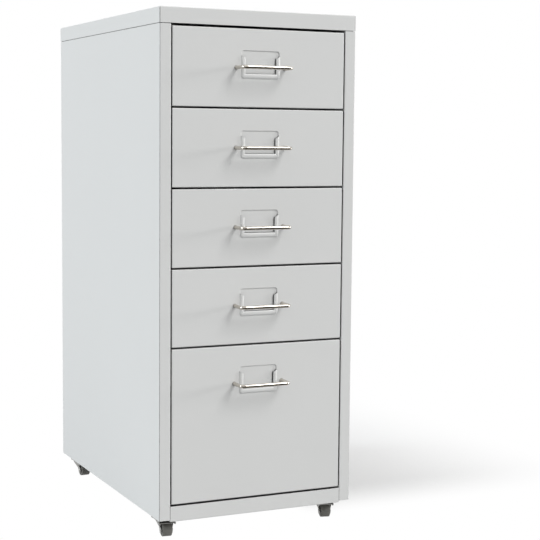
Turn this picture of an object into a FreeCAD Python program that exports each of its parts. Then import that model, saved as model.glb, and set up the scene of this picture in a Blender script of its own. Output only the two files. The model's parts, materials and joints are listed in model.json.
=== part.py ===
# Narrow drawer cabinet of folded sheet steel: a lidded carcass, five drawers on runners, four castors.
# Lengths are in millimetres. X is across the front, Y runs from front to rear, Z is up from the floor.
import FreeCAD, Part
import math
import os
import Sketcher

# Driving dimensions, one cell each
DRIVING = {
    # Carcass
    "carcass_width": 280,
    "carcass_depth": 430,
    "overall_height": 691,
    "sheet": 0.8,
    "bend_radius": 1.3,
    "overrun": 5,
    # Lid
    "lid_flange": 20.4,
    "lid_seam": 0.8,
    "tongue_lap": 12,
    "tongue_corner": 5,
    # Side panels and back
    "stile_width": 15.5,
    "return_depth": 30,
    "side_lift": 2.4,
    "back_inset": 2,
    # Base
    "rail_height": 20.4,
    "castor_bar_thickness": 1.6,
    "castor_bar_width": 36,
    "castor_bar_inset": 9,
    # Drawer fronts
    "drawer_gap": 2.4,
    "top_gap": 3.2,
    "front_side_gap": 1.5,
    "front_depth": 12.5,
    "front_flange": 14,
    "front_edge_radius": 1.6,
    # Card holders pressed in the fronts
    "holder_width": 55,
    "holder_height": 36.7,
    "holder_drop": 27.5,
    "holder_recess": 1.2,
    "holder_slope": 2,
    "holder_corner": 3,
    "floor_corner": 1.8,
    "lip_width": 5.7,
    "lip_foot": 6.4,
    "lip_rise": 2,
    "lip_top_drop": 7.2,
    "lip_slant": 3,
    "lip_corner": 2,
    "lip_wall": 1.65,
    "lip_bevel": 1.4,
    "lip_mouth_bevel": 1,
    # Handles
    "handle_reach": 27,
    "handle_centres": 69,
    "handle_rod": 5,
    "handle_bend": 5,
    "handle_drop": 50.3,
    "handle_bore_depth": 9,
    # Drawer trays
    "tray_side_gap": 11,
    "tray_lift": 4,
    "tray_headroom": 13.4,
    "tray_rear_gap": 18,
    "tray_flange": 8.9,
    # Runners and their stops
    "running_gap": 0.3,
    "runner_ledge": 9.4,
    "runner_lip": 6.5,
    "runner_mouth": 5,
    "stop_drop": 3,
    "stop_reach": 3,
    "drawer_travel": 300,
    # Castors
    "castor_height": 26,
    "castor_inset": 21.2,
    "castor_end_inset": 35,
    "castor_plate_side": 30,
    "castor_plate_thickness": 2,
    "castor_plate_corner": 3,
    "castor_screw_pitch": 22,
    "castor_cup_diameter": 20,
    "castor_cup_depth": 1.9,
    "castor_trail": 8,
    "fork_sheet": 1.2,
    "crown_width": 22.5,
    "crown_front": 17,
    "crown_rear": 9.5,
    "crown_rim": 1.4,
    "cheek_front": 6,
    "fork_knee": 11.5,
    "fork_foot": 4.5,
    "fork_drop": 5,
    "fork_clearance": 0.5,
    "wheel_diameter": 18,
    "wheel_width": 13,
    "axle_diameter": 3,
    "axle_head": 5,
    "axle_head_height": 0.8,
    "axle_fit": 0.08,
    "kingpin_diameter": 5,
    "kingpin_head": 7.6,
    "kingpin_head_height": 1.2,
    # Screws
    "screw_diameter": 4,
    "screw_head": 7.4,
    "screw_head_height": 2.2,
    "low_head_height": 1.6,
    "screw_length": 7,
    "screw_fit": 0.2,
    "handle_screw_diameter": 3,
    "handle_screw_head": 5.6,
    "handle_screw_head_height": 1.8,
    "handle_screw_engagement": 7,
}

# Counts and shares
SHALLOW_DRAWERS = 4
DEEP_UNITS = 2
DRAWER_NAMES = ("top_drawer", "second_drawer", "third_drawer", "fourth_drawer", "bottom_drawer")
SIDES = {"left": -1, "right": 1}
SCREW_HEIGHT_SHARES = (0.08, 0.36, 0.64, 0.92)
SCREW_SIDES = 6
CUP_SIDES = 12
TONGUE_TOP_SHARE = 0.9
BEND_CORNER_SHARE = 1 - math.tan(math.pi / 8)

# Rest angles of the four castors, turned about their kingpins from straight ahead, in degrees
CASTOR_TURNS = {
    "front_left": -8,
    "front_right": -16,
    "rear_left": 2,
    "rear_right": 24,
}


class Length:
    """A length with the formula that ties it to the sheet."""

    def __init__(self, text, value):
        self.text = text
        self.value = value

    def __add__(self, other):
        return join(self, "+", other)

    def __sub__(self, other):
        return join(self, "-", other)

    def __mul__(self, other):
        return join(self, "*", other)

    def __truediv__(self, other):
        return join(self, "/", other)

    def __neg__(self):
        return self * -1


def join(left, sign, right):
    right_text = right.text if isinstance(right, Length) else repr(right)
    right_value = right.value if isinstance(right, Length) else right
    results = {
        "+": left.value + right_value,
        "-": left.value - right_value,
        "*": left.value * right_value,
        "/": left.value / right_value if right_value else 0,
    }
    return Length(f"({left.text} {sign} {right_text})", results[sign])


ZERO = Length("0", 0)


class Book:
    """A spreadsheet whose cells are read by name, as lengths."""

    def __init__(self, name):
        self.page = doc.addObject("Spreadsheet::Sheet", name)
        self.lengths = {}

    def write(self, alias, content, value):
        row = len(self.lengths) + 1
        self.page.set(f"A{row}", alias)
        self.page.set(f"B{row}", content)
        self.page.setAlias(f"B{row}", alias)
        self.lengths[alias] = Length(f"{self.page.Name}.{alias}", value)

    def __getattr__(self, alias):
        return self.lengths[alias]


doc = FreeCAD.newDocument("drawer_cabinet")
size = Book("sizes")
for driving_name, driving_value in DRIVING.items():
    size.write(driving_name, str(driving_value), driving_value)
place = Book("places")
parts = {}


def derive(alias, length):
    """Keep a worked-out place in the second sheet, so that every piece reads the same one."""
    place.write(alias, "=" + length.text, length.value)


# Places shared by several pieces
derive("half_width", size.carcass_width / 2)
derive("front_face", (size.handle_reach - size.carcass_depth - size.screw_head_height) / 2)
derive("rear_face", place.front_face + size.carcass_depth)
derive("side_bottom", size.castor_height + size.side_lift)
derive("lid_bottom", size.overall_height - size.lid_flange)
derive("side_top", place.lid_bottom - size.lid_seam)
derive("side_rear", place.rear_face - size.sheet)
derive("stile_edge", place.half_width - size.stile_width)
derive("rail_top", size.castor_height + size.rail_height)
derive("fronts_height", place.lid_bottom - size.top_gap - place.rail_top - size.drawer_gap)
derive("front_pitch", (place.fronts_height + size.drawer_gap) / (SHALLOW_DRAWERS + DEEP_UNITS))
derive("shallow_height", place.front_pitch - size.drawer_gap)
derive("deep_height", place.front_pitch * DEEP_UNITS - size.drawer_gap)
derive("front_half_width", place.stile_edge - size.front_side_gap)
derive("front_rear", place.front_face + size.front_depth)
derive("tray_half_width", place.stile_edge - size.tray_side_gap)
derive("tray_rear", place.side_rear - size.tray_rear_gap)
derive("flange_edge", place.tray_half_width + size.tray_flange)
derive("runner_front", place.front_rear + size.running_gap)
derive("runner_web", place.stile_edge - size.sheet)
derive("handle_axis", place.front_face - size.handle_reach + size.handle_rod / 2)
derive("castor_x", place.half_width - size.castor_inset)
derive("castor_front_y", place.front_face + size.castor_end_inset)
derive("castor_rear_y", place.rear_face - size.castor_end_inset)
derive("castor_plate_top", size.castor_height - size.castor_bar_thickness)
derive("castor_plate_bottom", place.castor_plate_top - size.castor_plate_thickness)
derive("fork_top", place.castor_plate_bottom - size.castor_cup_depth - size.running_gap)
derive("fork_crown_bottom", place.fork_top - size.fork_sheet)
derive("wheel_radius", size.wheel_diameter / 2)
derive("fork_half_inside", size.wheel_width / 2 + size.fork_clearance)
derive("fork_half_outside", place.fork_half_inside + size.fork_sheet)
doc.recompute()


# Drawing and feature helpers

def tie(thing, prop, length):
    thing.setExpression(prop, length.text)


def vector(across, up):
    return FreeCAD.Vector(across.value, up.value, 0)


def new_body(name):
    body = doc.addObject("PartDesign::Body", name)
    body.Label = name
    parts[name] = body
    return body


def new_sketch(body, name, plane, offset=ZERO):
    """A sketch on one of the body's own origin planes, moved along that plane's normal."""
    sketch = body.newObject("Sketcher::SketchObject", name)
    planes = [item for item in body.Origin.OriginFeatures if item.Role == plane]
    sketch.AttachmentSupport = (planes[0], [""])
    sketch.MapMode = "FlatFace"
    tie(sketch, "AttachmentOffset.Base.z", offset)
    return sketch


def level_sketch(body, name, height=ZERO):
    return new_sketch(body, name, "XY_Plane", height)


def front_sketch(body, name, depth):
    """A sketch in a plane that faces the front, at a given Y. Its pads grow forwards."""
    return new_sketch(body, name, "XZ_Plane", -depth)


def side_sketch(body, name, across=ZERO):
    return new_sketch(body, name, "YZ_Plane", across)


def pin(sketch, shape, point, across, up):
    """Hold a point of the sketch at a place given from the sketch's own origin."""
    for kind, length in (("DistanceX", across), ("DistanceY", up)):
        held = sketch.addConstraint(Sketcher.Constraint(kind, -1, 1, shape, point, length.value))
        sketch.setExpression(f"Constraints[{held}]", length.text)


def polygon(sketch, corners):
    first = sketch.GeometryCount
    count = len(corners)
    for index, corner in enumerate(corners):
        following = corners[(index + 1) % count]
        sketch.addGeometry(Part.LineSegment(vector(*corner), vector(*following)), False)
    for index in range(count):
        sketch.addConstraint(Sketcher.Constraint("Coincident", first + index, 2,
                                                 first + (index + 1) % count, 1))
    for index, corner in enumerate(corners):
        pin(sketch, first + index, 1, *corner)


def rectangle(sketch, left, right, low, high):
    polygon(sketch, [(left, low), (right, low), (right, high), (left, high)])


def circle(sketch, across, up, radius):
    outline = Part.Circle(vector(across, up), FreeCAD.Vector(0, 0, 1), radius.value)
    shape = sketch.addGeometry(outline, False)
    pin(sketch, shape, 3, across, up)
    held = sketch.addConstraint(Sketcher.Constraint("Radius", shape, radius.value))
    sketch.setExpression(f"Constraints[{held}]", radius.text)


def ring_corners(across, up, radius, sides):
    """Corners of a regular outline, the first of them level with its centre."""
    turns = [math.tau * corner / sides for corner in range(sides)]
    return [(across + radius * math.cos(turn), up + radius * math.sin(turn)) for turn in turns]


def hexagon(sketch, across, up, radius):
    polygon(sketch, ring_corners(across, up, radius, SCREW_SIDES))


def check(feature):
    """Recompute and stop at once where a feature fails."""
    doc.recompute()
    faults = [state for state in feature.State if state in ("Invalid", "Error")]
    if faults or feature.Shape.isNull():
        raise RuntimeError(f"{feature.Label} failed: {feature.State}")
    return feature


def pad(body, sketch, length, backwards=False, symmetric=False):
    feature = body.newObject("PartDesign::Pad", sketch.Name + "_pad")
    feature.Profile = sketch
    tie(feature, "Length", length)
    feature.Reversed = backwards
    if symmetric:
        feature.SideType = "Symmetric"
    return check(feature)


def cut(body, sketch, depth, backwards=False, symmetric=False):
    """A pocket, which has to take material away."""
    before = body.Tip.Shape.Volume
    feature = body.newObject("PartDesign::Pocket", sketch.Name + "_cut")
    feature.Profile = sketch
    tie(feature, "Length", depth)
    feature.Reversed = backwards
    if symmetric:
        feature.SideType = "Symmetric"
    check(feature)
    if feature.Shape.Volume >= before:
        raise RuntimeError(f"{feature.Label} cuts nothing")
    return feature


def edges(feature, wanted):
    return [f"Edge{index + 1}" for index, edge in enumerate(feature.Shape.Edges) if wanted(edge)]


def faces(feature, wanted):
    return [f"Face{index + 1}" for index, face in enumerate(feature.Shape.Faces) if wanted(face)]


def near(value, length):
    return abs(value - length.value) < size.sheet.value / 10


def fillet(body, radius, wanted):
    base = body.Tip
    feature = body.newObject("PartDesign::Fillet", body.Name + "_fillet")
    feature.Base = (base, edges(base, wanted))
    tie(feature, "Radius", radius)
    return check(feature)


def bevel(body, width, wanted):
    base = body.Tip
    feature = body.newObject("PartDesign::Chamfer", body.Name + "_bevel")
    feature.Base = (base, edges(base, wanted))
    tie(feature, "Size", width)
    return check(feature)


def hollow(body, wall, open_face):
    """Leave a sheet-thick shell inside the block, open at one face."""
    base = body.Tip
    feature = body.newObject("PartDesign::Thickness", body.Name + "_shell")
    feature.Base = (base, faces(base, open_face))
    tie(feature, "Value", wall)
    feature.Reversed = True
    return check(feature)


def upright(edge):
    box = edge.BoundBox
    return box.ZLength > size.sheet.value and box.XLength + box.YLength < size.sheet.value / 10


def at_corner(edge, corners):
    """True for an edge that runs through one of the given X and Y places."""
    centre = edge.CenterOfMass
    return any(near(centre.x, across) and near(centre.y, depth) for across, depth in corners)


# Carcass

def top_cover():
    body = new_body("top_cover")
    outline = level_sketch(body, "cover_outline", place.lid_bottom)
    rectangle(outline, -place.half_width, place.half_width, place.front_face, place.rear_face)
    pad(body, outline, size.lid_flange)
    fillet(body, size.bend_radius, lambda edge: near(edge.BoundBox.ZMin, size.overall_height))
    hollow(body, size.sheet, lambda face: near(face.BoundBox.ZMax, place.lid_bottom))
    holes = front_sketch(body, "cover_holes", place.rear_face + size.overrun)
    for side in SIDES.values():
        hexagon(holes, screw_column() * side, cover_screw_height(), clearance_radius())
    cut(body, holes, size.overrun * 2, backwards=True)


def screw_column():
    return place.half_width - size.stile_width / 2


def cover_screw_height():
    return size.overall_height - size.lid_flange / 2


def clearance_radius():
    return size.screw_diameter / 2 + size.screw_fit


def back_screw_heights():
    span = place.side_top - place.side_bottom
    return [place.side_bottom + span * share for share in SCREW_HEIGHT_SHARES]


def side_panel(name, side):
    """Folded panel: stile and return at the front, flange and return at the rear, tongues for the lid."""
    body = new_body(name)
    outer, inner = place.half_width, place.half_width - size.sheet
    edge, edge_inner = place.stile_edge, place.stile_edge + size.sheet
    front, front_inner = place.front_face, place.front_face + size.sheet
    rear, rear_inner = place.side_rear, place.side_rear - size.sheet
    front_end, rear_end = front + size.return_depth, rear - size.return_depth
    section = level_sketch(body, "panel_section", place.side_bottom)
    corners = [
        (edge, front_end), (edge, front), (outer, front), (outer, rear), (edge, rear), (edge, rear_end),
        (edge_inner, rear_end), (edge_inner, rear_inner), (inner, rear_inner), (inner, front_inner),
        (edge_inner, front_inner), (edge_inner, front_end),
    ]
    polygon(section, [(across * side, depth) for across, depth in corners])
    pad(body, section, place.side_top - place.side_bottom)
    bends = [(across * side, depth) for across in (edge, outer) for depth in (front, rear)]
    fillet(body, size.bend_radius, lambda line: upright(line) and at_corner(line, bends))
    tongues = level_sketch(body, "tongues", place.side_top - size.tongue_lap)
    near_edge, far_edge = edge_inner + size.sheet, outer - size.tongue_corner
    strips = [
        (near_edge, far_edge, front_inner, front_inner + size.sheet),
        (near_edge, far_edge, rear_inner, rear),
        (inner - size.sheet, inner, front + size.tongue_corner, rear - size.tongue_corner),
    ]
    for left, right, low, high in strips:
        rectangle(tongues, left * side, right * side, low, high)
    pad(body, tongues, size.tongue_lap + size.lid_seam + size.lid_flange * TONGUE_TOP_SHARE)
    holes = front_sketch(body, "rear_holes", place.rear_face + size.overrun)
    for height in back_screw_heights() + [cover_screw_height()]:
        hexagon(holes, screw_column() * side, height, clearance_radius())
    cut(body, holes, size.overrun * 2, backwards=True)


def back_panel():
    body = new_body("back_panel")
    outline = front_sketch(body, "back_outline", place.rear_face)
    reach = place.half_width - size.back_inset
    rectangle(outline, -reach, reach, place.side_bottom, place.side_top)
    pad(body, outline, size.sheet)
    holes = front_sketch(body, "back_holes", place.rear_face + size.overrun)
    for side in SIDES.values():
        for height in back_screw_heights():
            hexagon(holes, screw_column() * side, height, clearance_radius())
    cut(body, holes, size.overrun * 2, backwards=True)


def base_panel():
    """Folded tray whose front wall is the rail seen under the lowest drawer."""
    body = new_body("base_panel")
    outline = level_sketch(body, "base_outline", size.castor_height)
    rectangle(outline, -place.stile_edge, place.stile_edge, place.front_face, place.side_rear)
    pad(body, outline, size.rail_height)
    fillet(body, size.bend_radius, lambda edge: near(edge.BoundBox.ZMax, size.castor_height)
           and near(edge.BoundBox.YMax, place.front_face))
    hollow(body, size.sheet, lambda face: near(face.BoundBox.ZMin, place.rail_top))


def castor_pivots():
    return {
        "front_left": (-place.castor_x, place.castor_front_y),
        "front_right": (place.castor_x, place.castor_front_y),
        "rear_left": (-place.castor_x, place.castor_rear_y),
        "rear_right": (place.castor_x, place.castor_rear_y),
    }


def castor_screw_places():
    step = size.castor_screw_pitch / 2
    return [(across + step * turn, depth + step * tilt) for across, depth in castor_pivots().values()
            for turn in (-1, 1) for tilt in (-1, 1)]


def castor_bar(name, depth):
    """Flat bar under the floor that the castor plates are screwed to."""
    body = new_body(name)
    reach = place.half_width - size.castor_bar_inset
    outline = level_sketch(body, "bar_outline", size.castor_height)
    half = size.castor_bar_width / 2
    rectangle(outline, -reach, reach, depth - half, depth + half)
    pad(body, outline, size.castor_bar_thickness, backwards=True)
    holes = level_sketch(body, "bar_holes", size.castor_height)
    for across, along in castor_screw_places():
        if near(along.value, depth + size.castor_screw_pitch / 2) or \
                near(along.value, depth - size.castor_screw_pitch / 2):
            hexagon(holes, across, along, size.screw_diameter / 2)
    cut(body, holes, size.overrun, symmetric=True)


# Drawers and their runners

def drawer_height(name):
    return place.deep_height if name == DRAWER_NAMES[-1] else place.shallow_height


def drawer_floor(name):
    """Height of the lower edge of a drawer's front."""
    if name == DRAWER_NAMES[-1]:
        return place.rail_top + size.drawer_gap
    order = DRAWER_NAMES.index(name)
    return place.lid_bottom - size.top_gap - place.shallow_height - place.front_pitch * order


def holder_lines(name):
    """The card holder's outlines, worked out from the top edge of the front."""
    half = size.holder_width / 2
    top = drawer_height(name) - size.holder_drop
    foot = top - size.holder_height
    lip_top = top - size.lip_top_drop
    window = half - size.lip_width
    window_foot = foot + size.lip_foot
    wall, corner = size.lip_wall, size.lip_corner
    inner = half - wall
    brink = half - size.holder_slope
    fall_inner = lip_top - size.lip_slant * wall / size.lip_width
    fall_brink = lip_top - size.lip_slant * size.holder_slope / size.lip_width
    fall = lip_top - size.lip_slant
    lip = [(half, lip_top), (half, foot + corner), (half - corner, foot), (corner - half, foot),
           (-half, foot + corner), (-half, lip_top), (-window, fall),
           (-window, window_foot), (window, window_foot), (window, fall)]
    under = [(inner, fall_inner), (inner, foot + wall), (-inner, foot + wall), (-inner, fall_inner),
             (-window, fall), (-window, window_foot), (window, window_foot), (window, fall)]
    shared = [(window, fall), (window, window_foot), (-window, window_foot), (-window, fall)]
    crest, round_mouth, round_floor = top - size.holder_slope, size.holder_corner, size.floor_corner
    mouth = [(half, top - round_mouth), (half, lip_top)] + shared + [
        (-half, lip_top), (-half, top - round_mouth), (round_mouth - half, top), (half - round_mouth, top)]
    floor = [(brink, crest - round_floor), (brink, fall_brink)] + shared + [
        (-brink, fall_brink), (-brink, crest - round_floor),
        (round_floor - brink, crest), (brink - round_floor, crest)]
    backing = (-half, half, window_foot - size.sheet, top)
    return lip, under, (mouth, floor), backing


def drawer_front(name):
    """Folded pan with a card holder pressed out of its face."""
    body = new_body(f"{name}_front")
    height = drawer_height(name)
    reach = place.front_half_width
    face, rear = place.front_face, place.front_rear
    block = front_sketch(body, "front_outline", rear)
    rectangle(block, -reach, reach, ZERO, height)
    pad(body, block, size.front_depth)
    fillet(body, size.front_edge_radius, lambda edge: near(edge.BoundBox.YMax, face))
    cavity = front_sketch(body, "front_cavity", rear)
    inside = reach - size.sheet
    rectangle(cavity, -inside, inside, size.sheet, height - size.sheet)
    cut(body, cavity, size.front_depth - size.sheet, backwards=True)
    flange = front_sketch(body, "front_flange", rear)
    half_sheet = size.sheet / 2
    rectangle(flange, -(reach - half_sheet), reach - half_sheet, half_sheet, height - half_sheet)
    rectangle(flange, -(reach - size.front_flange), reach - size.front_flange,
              size.front_flange, height - size.front_flange)
    pad(body, flange, size.sheet)
    lip, under, recess, backing = holder_lines(name)
    bulge = front_sketch(body, "holder_backing", face + size.sheet)
    rectangle(bulge, *backing)
    pad(body, bulge, size.holder_recess, backwards=True)
    mouth, floor = recess
    brim = front_sketch(body, "holder_brim", face)
    polygon(brim, mouth)
    bottom = front_sketch(body, "holder_floor", face + size.holder_recess)
    polygon(bottom, floor)
    pressed = body.newObject("PartDesign::SubtractiveLoft", "holder_recess")
    pressed.Profile = brim
    pressed.Sections = [bottom]
    pressed.Ruled = True
    check(pressed)
    raised = front_sketch(body, "holder_lip", face)
    polygon(raised, lip)
    pad(body, raised, size.lip_rise)
    lip_face = face - size.lip_rise
    half, foot, window_foot = size.holder_width / 2, lip[2][1], lip[7][1]
    bevel(body, size.lip_bevel, lambda edge: near(edge.BoundBox.YMax, lip_face) and (
        near(edge.BoundBox.XMax, half) or near(edge.BoundBox.XMin, -half) or near(edge.BoundBox.ZMin, foot)))
    bevel(body, size.lip_mouth_bevel, lambda edge: near(edge.BoundBox.YMax, lip_face)
          and near(edge.BoundBox.ZMin, window_foot) and near(edge.BoundBox.ZMax, window_foot))
    slit = front_sketch(body, "holder_slit", face + size.sheet + size.holder_recess)
    polygon(slit, under)
    cut(body, slit, size.holder_recess + size.lip_rise, backwards=True)
    holes = front_sketch(body, "handle_holes", face + size.sheet)
    for side in SIDES.values():
        hexagon(holes, size.handle_centres / 2 * side, handle_height(name),
                size.handle_screw_diameter / 2 + size.screw_fit)
    cut(body, holes, size.overrun, backwards=True)
    tie(body, "Placement.Base.z", drawer_floor(name))


def handle_height(name):
    return drawer_height(name) - size.handle_drop


def handle(name):
    """Bent wire bail whose legs stand on the drawer front."""
    body = new_body(f"{name}_handle")
    half, bend = size.handle_centres / 2, size.handle_bend
    face, bar = place.front_face, place.handle_axis
    height = handle_height(name)
    corner = bend * BEND_CORNER_SHARE
    points = [(-half, face), (-half, bar + corner), (-half + corner, bar),
              (half - corner, bar), (half, bar + corner), (half, face)]
    path = level_sketch(body, "handle_path", height)
    for index in range(len(points) - 1):
        line = path.addGeometry(Part.LineSegment(vector(*points[index]), vector(*points[index + 1])), False)
        if index:
            path.addConstraint(Sketcher.Constraint("Coincident", line - 1, 2, line, 1))
        else:
            pin(path, line, 1, *points[index])
        pin(path, line, 2, *points[index + 1])
    section = front_sketch(body, "handle_section", face)
    circle(section, -half, height, size.handle_rod / 2)
    doc.recompute()
    rod = body.newObject("PartDesign::AdditivePipe", "handle_rod")
    rod.Profile = section
    rod.Spine = path
    rod.Transition = "Right corner"
    check(rod)
    bores = front_sketch(body, "handle_bores", face)
    for side in SIDES.values():
        hexagon(bores, half * side, height, size.handle_screw_diameter / 2)
    cut(body, bores, size.handle_bore_depth, backwards=True)
    tie(body, "Placement.Base.z", drawer_floor(name))


def tray_top(name):
    """Height of the top of a tray's flange above the lower edge of its front."""
    return drawer_height(name) - size.tray_headroom


def drawer_tray(name):
    """Open tray with outward flanges that ride on the runners, and a stop tab on each flange."""
    body = new_body(f"{name}_tray")
    half, top = place.tray_half_width, tray_top(name)
    front, rear = place.front_rear, place.tray_rear
    outline = level_sketch(body, "tray_outline", size.tray_lift)
    rectangle(outline, -half, half, front, rear)
    pad(body, outline, top - size.tray_lift)
    hollow(body, size.sheet, lambda face: near(face.BoundBox.ZMin, top))
    flanges = level_sketch(body, "tray_flanges", top)
    for side in SIDES.values():
        rectangle(flanges, (half - size.sheet) * side, place.flange_edge * side,
                  front + size.sheet, rear - size.sheet)
    pad(body, flanges, size.sheet, backwards=True)
    tabs = level_sketch(body, "stop_tabs", top - size.sheet)
    stop = place.runner_front + size.stop_reach + size.running_gap + size.drawer_travel
    for side in SIDES.values():
        rectangle(tabs, (place.flange_edge - size.runner_lip / 2) * side, place.flange_edge * side,
                  stop, stop + size.sheet)
    pad(body, tabs, size.sheet + size.runner_mouth - size.running_gap * 2 - size.sheet)
    tie(body, "Placement.Base.z", drawer_floor(name))


def runner(name, side_name, side):
    """Folded channel: web on the returns, ledge under the tray's flange, lip and stop above it."""
    body = new_body(f"{name}_{side_name}_runner")
    edge, web, sheet = place.stile_edge, place.runner_web, size.sheet
    ledge, lip = edge - size.runner_ledge - sheet, web - size.runner_lip
    roof = size.runner_mouth
    section = front_sketch(body, "runner_section", place.side_rear - size.tray_rear_gap / 2)
    corners = [(ledge, ZERO), (web, ZERO), (web, roof), (lip, roof), (lip, roof + sheet),
               (edge, roof + sheet), (edge, -sheet), (ledge, -sheet)]
    polygon(section, [(across * side, up) for across, up in corners])
    length = place.side_rear - size.tray_rear_gap / 2 - place.runner_front
    pad(body, section, length)
    stop = front_sketch(body, "stop", place.runner_front + size.stop_reach)
    rectangle(stop, lip * side, (web - sheet) * side, roof - size.stop_drop, roof)
    pad(body, stop, sheet)
    tie(body, "Placement.Base.z", drawer_floor(name) + tray_top(name) - sheet - size.running_gap)


# Castors, each modelled with its kingpin at X 0, Y 0 and the wheel trailing towards the front

def castor_plate(name, pivot):
    body = new_body(f"{name}_castor_plate")
    half = size.castor_plate_side / 2
    outline = level_sketch(body, "plate_outline", place.castor_plate_bottom)
    rectangle(outline, -half, half, -half, half)
    pad(body, outline, size.castor_plate_thickness)
    bevel(body, size.castor_plate_corner,
          lambda edge: near(edge.BoundBox.ZLength, size.castor_plate_thickness))
    cup = level_sketch(body, "plate_cup", place.castor_plate_bottom)
    polygon(cup, ring_corners(ZERO, ZERO, size.castor_cup_diameter / 2, CUP_SIDES))
    pad(body, cup, size.castor_cup_depth, backwards=True)
    holes = level_sketch(body, "plate_holes", place.castor_plate_bottom)
    step = size.castor_screw_pitch / 2
    for turn in (-1, 1):
        for tilt in (-1, 1):
            hexagon(holes, step * turn, step * tilt, clearance_radius())
    cut(body, holes, size.overrun * 2, symmetric=True)
    seat(body, pivot)


def seat(body, pivot, turn=0):
    tie(body, "Placement.Base.x", pivot[0])
    tie(body, "Placement.Base.y", pivot[1])
    body.Placement.Rotation = FreeCAD.Rotation(FreeCAD.Vector(0, 0, 1), turn)


def kingpin(name, pivot):
    """Pin welded under the plate's cup; its head keeps the fork up."""
    body = new_body(f"{name}_castor_kingpin")
    cup_bottom = place.castor_plate_bottom - size.castor_cup_depth
    shank = level_sketch(body, "kingpin_shank", cup_bottom)
    circle(shank, ZERO, ZERO, size.kingpin_diameter / 2)
    head_top = place.fork_crown_bottom - size.running_gap
    pad(body, shank, cup_bottom - head_top, backwards=True)
    head = level_sketch(body, "kingpin_head", head_top)
    hexagon(head, ZERO, ZERO, size.kingpin_head / 2)
    pad(body, head, size.kingpin_head_height, backwards=True)
    seat(body, pivot)


def fork(name, pivot, turn):
    """Pressed fork: a hood over the wheel, with cheeks that lean in and forward to the axle."""
    body = new_body(f"{name}_castor_fork")
    axle_y, axle_z = -size.castor_trail, place.wheel_radius
    top, under = place.fork_top, place.fork_crown_bottom
    low, knee = axle_z - size.fork_drop, size.fork_knee
    outer, foot_outer = size.crown_width / 2, place.fork_half_outside
    inner, foot_inner = outer - size.fork_sheet, place.fork_half_inside
    profile = front_sketch(body, "fork_profile", size.crown_rear)
    right = [(outer, top), (outer, under), (foot_outer, knee), (foot_outer, low),
             (foot_inner, low), (foot_inner, knee), (inner, under)]
    left = [(-across, up) for across, up in reversed(right)]
    polygon(profile, right + left)
    pad(body, profile, size.crown_rear + size.crown_front)
    rim_foot, foot, over = under - size.crown_rim, size.fork_foot, size.overrun
    ends = [(-1, size.crown_front, size.cheek_front), (1, size.crown_rear, size.crown_rear)]
    for way, crown_end, cheek_end in ends:
        spare = side_sketch(body, "fork_spare")
        polygon(spare, [((crown_end + over) * way, rim_foot), (cheek_end * way, rim_foot),
                        (axle_y + foot * way, axle_z), (axle_y + foot / 2 * way, low),
                        (axle_y + foot / 2 * way, low - over), ((crown_end + over) * way, low - over)])
        cut(body, spare, size.crown_width, symmetric=True)
    axle_holes = side_sketch(body, "axle_holes")
    hexagon(axle_holes, axle_y, axle_z, size.axle_diameter / 2)
    cut(body, axle_holes, place.fork_half_outside * 2, symmetric=True)
    king_hole = level_sketch(body, "king_hole", top)
    circle(king_hole, ZERO, ZERO, size.kingpin_diameter / 2 + size.axle_fit)
    cut(body, king_hole, size.fork_sheet * 2, symmetric=True)
    seat(body, pivot, turn)


def wheel(name, pivot, turn):
    body = new_body(f"{name}_castor_wheel")
    disc = side_sketch(body, "wheel_disc")
    circle(disc, -size.castor_trail, place.wheel_radius, place.wheel_radius)
    circle(disc, -size.castor_trail, place.wheel_radius, size.axle_diameter / 2 + size.axle_fit)
    pad(body, disc, size.wheel_width, symmetric=True)
    seat(body, pivot, turn)


def axle(name, pivot, turn):
    """Axle bolt, round inside the wheel and six-sided through the cheeks, which keeps it from turning."""
    body = new_body(f"{name}_castor_axle")
    shank = side_sketch(body, "axle_shank")
    circle(shank, -size.castor_trail, place.wheel_radius, size.axle_diameter / 2)
    pad(body, shank, place.fork_half_inside * 2, symmetric=True)
    for side in SIDES.values():
        steps = [("axle_neck", place.fork_half_inside, size.axle_diameter, size.fork_sheet),
                 ("axle_head", place.fork_half_outside, size.axle_head, size.axle_head_height)]
        for step, start, diameter, length in steps:
            outline = side_sketch(body, step, start * side)
            hexagon(outline, -size.castor_trail, place.wheel_radius, diameter / 2)
            pad(body, outline, length, backwards=side < 0)
    seat(body, pivot, turn)


# Screws, grouped as separate solids

def prism(radius, low, high):
    """A six-sided prism on the Z axis."""
    corners = [vector(*corner) for corner in ring_corners(ZERO, ZERO, radius, SCREW_SIDES)]
    outline = Part.Face(Part.makePolygon(corners + corners[:1]))
    solid = outline.extrude(FreeCAD.Vector(0, 0, (high - low).value))
    solid.translate(FreeCAD.Vector(0, 0, low.value))
    return solid


def screw_shape(screw, origin, direction):
    """A screw whose head bears on the origin and whose shank points along the direction."""
    diameter, head, head_height, length = screw
    solid = prism(head / 2, -head_height, ZERO).fuse(prism(diameter / 2, ZERO, length))
    turn = FreeCAD.Rotation(FreeCAD.Vector(0, 0, 1), direction)
    solid.Placement = FreeCAD.Placement(FreeCAD.Vector(*[length.value for length in origin]), turn)
    return solid


def screw_group(name, screw, origins, direction):
    group = doc.addObject("Part::Feature", name)
    group.Label = name
    group.Shape = Part.makeCompound([screw_shape(screw, origin, direction) for origin in origins])
    parts[name] = group


def carcass_screws():
    screw = (size.screw_diameter, size.screw_head, size.screw_head_height, size.screw_length)
    origins = [(screw_column() * side, place.rear_face, height) for side in SIDES.values()
               for height in back_screw_heights() + [cover_screw_height()]]
    screw_group("carcass_screws", screw, origins, FreeCAD.Vector(0, -1, 0))


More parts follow.
